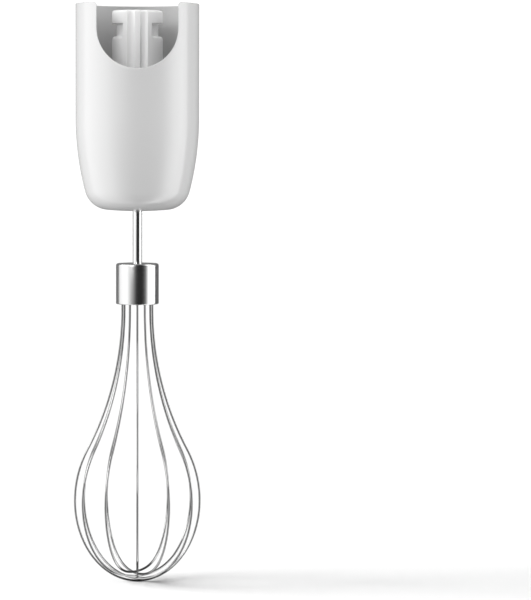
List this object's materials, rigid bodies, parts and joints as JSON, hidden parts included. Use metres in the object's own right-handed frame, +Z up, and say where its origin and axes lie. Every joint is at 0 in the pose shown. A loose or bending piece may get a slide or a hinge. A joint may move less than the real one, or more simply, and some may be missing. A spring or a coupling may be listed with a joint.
{
  "type": "whisk attachment",
  "caption": "Balloon whisk attachment for a hand blender: notched coupling housing with a geared drive, pull-out steel shaft, ferrule and wire balloon.",
  "frame": {"origin": "lowest point of the whisk, on the whisk's axis", "axes": "+Z up along the whisk and shaft axis to the coupling socket; -Y towards the notch in the socket wall; +X to the right when facing the notch"},
  "size_m": [0.0548, 0.0548, 0.2495],
  "materials": {
    "shell_white": "smooth satin-gloss white moulded plastic",
    "inner_white": "smooth light grey-white moulded plastic",
    "polished_steel": "polished stainless steel",
    "brushed_steel": "fine-turned stainless steel",
    "spring_steel": "plain spring steel",
    "bronze": "sintered bronze, oil-filled",
    "natural_nylon": "natural acetal",
    "dark_nylon": "dark glass-filled nylon",
    "rubber": "soft black rubber"
  },
  "bodies": {
    "housing": {"housing_shell": "shell_white", "coupling_tower": "inner_white", "deck_seal": "rubber", "retaining_ring": "spring_steel", "ring_gear": "dark_nylon", "gear_case": "dark_nylon", "output_bush": "bronze", "shaft_seal": "rubber", "input_bush": "bronze", "gearbox_screw_1": "spring_steel", "gearbox_screw_2": "spring_steel", "gearbox_screw_3": "spring_steel"},
    "input_drive": {"drive_coupler": "dark_nylon", "coupler_pin": "spring_steel", "input_shaft": "polished_steel", "input_circlip": "spring_steel", "sun_gear": "brushed_steel"},
    "carrier": {"planet_carrier": "natural_nylon", "carrier_cap": "natural_nylon", "thrust_washer": "spring_steel", "snap_ring": "spring_steel", "planet_pin_1": "polished_steel", "planet_pin_2": "polished_steel", "planet_pin_3": "polished_steel"},
    "planet_1": {"planet_gear_1": "natural_nylon"},
    "planet_2": {"planet_gear_2": "natural_nylon"},
    "planet_3": {"planet_gear_3": "natural_nylon"},
    "whisk": {"whisk_shaft": "polished_steel", "ferrule": "brushed_steel", "wire_hub": "dark_nylon", "hub_cap": "dark_nylon", "wire_loop_1": "polished_steel", "wire_loop_2": "polished_steel", "wire_loop_3": "polished_steel", "wire_loop_4": "polished_steel", "wire_loop_5": "polished_steel", "wire_loop_6": "polished_steel"}
  },
  "joints": [
    {"name": "carrier_spin", "type": "hinge", "parent": "housing", "child": "carrier", "pos_m": [0, 0, 0.1924], "axis": [0, 0, 1], "continuous": true},
    {"name": "input_spin", "type": "hinge", "parent": "housing", "child": "input_drive", "pos_m": [0, 0, 0.2124], "axis": [0, 0, 1], "continuous": true},
    {"name": "planet_spin_1", "type": "hinge", "parent": "carrier", "child": "planet_1", "pos_m": [0, 0.01125, 0.1988], "axis": [0, 0, 1], "continuous": true},
    {"name": "planet_spin_2", "type": "hinge", "parent": "carrier", "child": "planet_2", "pos_m": [-0.00975, -0.00563, 0.1988], "axis": [0, 0, 1], "continuous": true},
    {"name": "planet_spin_3", "type": "hinge", "parent": "carrier", "child": "planet_3", "pos_m": [0.00975, -0.00563, 0.1988], "axis": [0, 0, 1], "continuous": true},
    {"name": "whisk_pull", "type": "slide", "parent": "carrier", "child": "whisk", "axis": [0, 0, -1], "range_m": [0, 0.03]}
  ],
  "couplings": [
    {"joint": "input_spin", "follows": "carrier_spin", "ratio": 5},
    {"joint": "planet_spin_1", "follows": "carrier_spin", "ratio": -2.6667},
    {"joint": "planet_spin_2", "follows": "carrier_spin", "ratio": -2.6667},
    {"joint": "planet_spin_3", "follows": "carrier_spin", "ratio": -2.6667}
  ]
}
